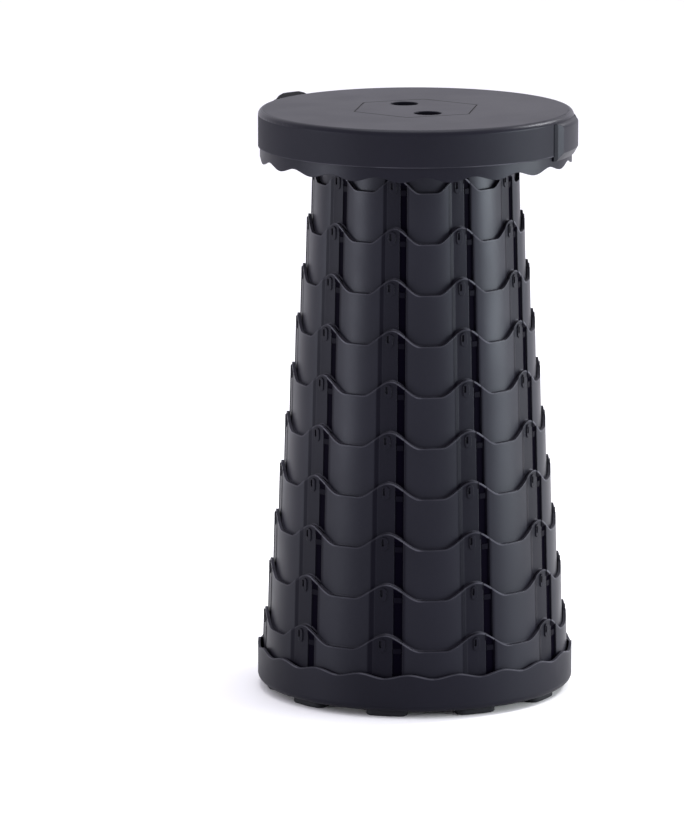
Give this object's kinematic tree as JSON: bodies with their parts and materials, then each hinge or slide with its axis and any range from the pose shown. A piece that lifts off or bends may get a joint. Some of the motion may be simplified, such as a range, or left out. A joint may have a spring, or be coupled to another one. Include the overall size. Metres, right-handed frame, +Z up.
{
  "type": "collapsible telescopic stool",
  "caption": "Round plastic stool made of nested scalloped rings that telescope between a disc seat and a shallow base tray, with a hexagonal finger-hole cap and a webbing strap.",
  "frame": {"origin": "centre of the ring of foot pads, on the floor", "axes": "+Z up along the stool's axis, -Y towards the front, +X to the right"},
  "size_m": [0.249, 0.3137, 0.4566],
  "materials": {
    "shell_plastic": "fine satin moulding",
    "lug_plastic": "satin",
    "webbing": "woven polyester webbing",
    "rubber": "matt",
    "steel": "zinc plated"
  },
  "bodies": {
    "base": {"base_tray": "shell_plastic", "ring_11": "shell_plastic", "foot_pad_01": "rubber", "foot_pad_02": "rubber", "foot_pad_03": "rubber", "foot_pad_04": "rubber", "foot_pad_05": "rubber", "foot_pad_06": "rubber", "foot_pad_07": "rubber", "foot_pad_08": "rubber", "foot_pad_09": "rubber", "foot_pad_10": "rubber"},
    "stage_10": {"ring_10": "shell_plastic"},
    "stage_09": {"ring_09": "shell_plastic"},
    "stage_08": {"ring_08": "shell_plastic"},
    "stage_07": {"ring_07": "shell_plastic"},
    "stage_06": {"ring_06": "shell_plastic"},
    "stage_05": {"ring_05": "shell_plastic"},
    "stage_04": {"ring_04": "shell_plastic"},
    "stage_03": {"ring_03": "shell_plastic"},
    "stage_02": {"ring_02": "shell_plastic"},
    "seat": {"ring_01": "shell_plastic", "seat_cover": "shell_plastic", "seat_frame": "shell_plastic", "hex_cap": "shell_plastic", "seat_screws": "steel", "strap_lug_left": "lug_plastic", "strap_lug_right": "lug_plastic", "strap_pin_left": "steel", "strap_pin_right": "steel", "carry_strap": "webbing"}
  },
  "joints": [
    {"name": "stage_10_slide", "type": "slide", "parent": "base", "child": "stage_10", "axis": [0, 0, -1], "range_m": [0, 0.0389]},
    {"name": "stage_09_slide", "type": "slide", "parent": "stage_10", "child": "stage_09", "axis": [0, 0, -1], "range_m": [0, 0.0389]},
    {"name": "stage_08_slide", "type": "slide", "parent": "stage_09", "child": "stage_08", "axis": [0, 0, -1], "range_m": [0, 0.0389]},
    {"name": "stage_07_slide", "type": "slide", "parent": "stage_08", "child": "stage_07", "axis": [0, 0, -1], "range_m": [0, 0.0389]},
    {"name": "stage_06_slide", "type": "slide", "parent": "stage_07", "child": "stage_06", "axis": [0, 0, -1], "range_m": [0, 0.0389]},
    {"name": "stage_05_slide", "type": "slide", "parent": "stage_06", "child": "stage_05", "axis": [0, 0, -1], "range_m": [0, 0.0389]},
    {"name": "stage_04_slide", "type": "slide", "parent": "stage_05", "child": "stage_04", "axis": [0, 0, -1], "range_m": [0, 0.0389]},
    {"name": "stage_03_slide", "type": "slide", "parent": "stage_04", "child": "stage_03", "axis": [0, 0, -1], "range_m": [0, 0.0389]},
    {"name": "stage_02_slide", "type": "slide", "parent": "stage_03", "child": "stage_02", "axis": [0, 0, -1], "range_m": [0, 0.0389]},
    {"name": "seat_slide", "type": "slide", "parent": "stage_02", "child": "seat", "axis": [0, 0, -1], "range_m": [0, 0.0389]}
  ]
}
